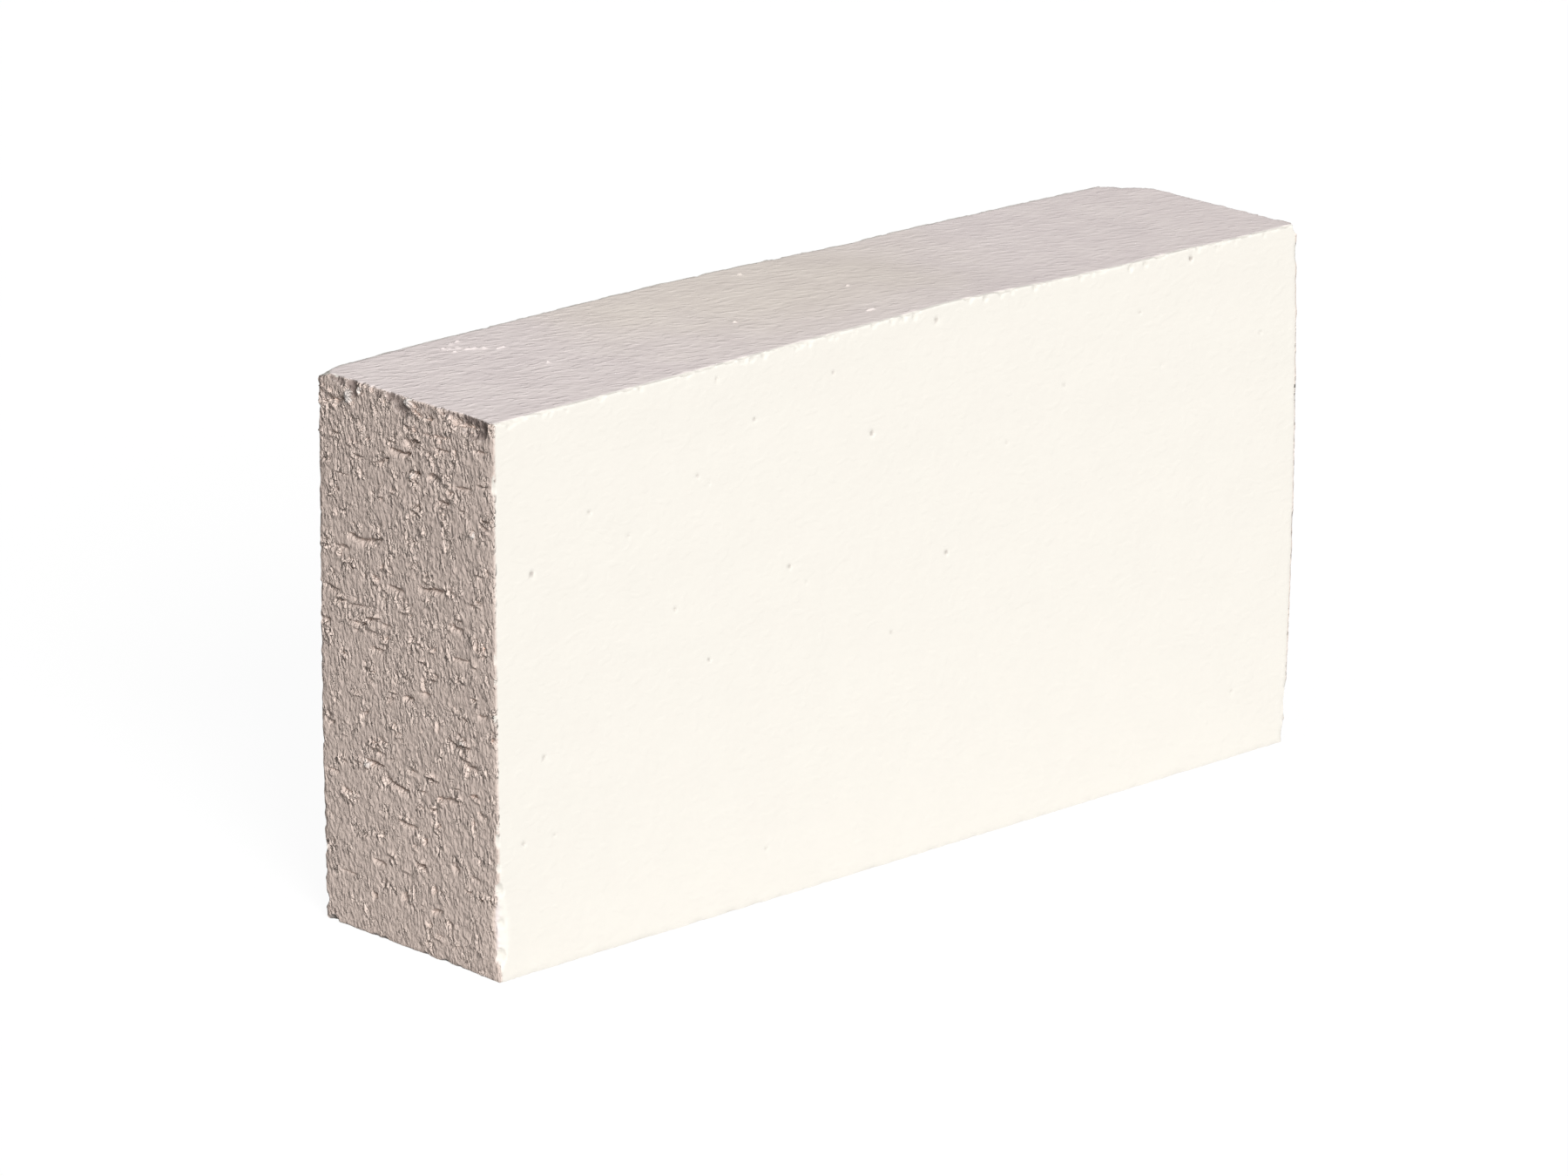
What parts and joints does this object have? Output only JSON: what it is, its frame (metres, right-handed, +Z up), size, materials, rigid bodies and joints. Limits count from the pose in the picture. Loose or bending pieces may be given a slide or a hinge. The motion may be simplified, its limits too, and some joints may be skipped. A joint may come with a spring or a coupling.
{
  "type": "firebrick",
  "caption": "Plain rectangular firebrick for lining hearths, stoves and kilns: a solid pale fireclay block with crisp arrises, a rough torn end, a knocked corner and small chips.",
  "frame": {"origin": "middle of the long narrow face that the brick stands on, at floor level", "axes": "+X along the length from the rough near end to the far end, +Y through the thickness from the front face to the back face, +Z up the height"},
  "size_m": [0.22, 0.05, 0.11],
  "materials": {
    "fired_clay": "matt unglazed fireclay, cream and smooth on the faces, warmer and torn rough on the near end"
  },
  "bodies": {
    "root": {"firebrick": "fired_clay"}
  },
  "joints": []
}
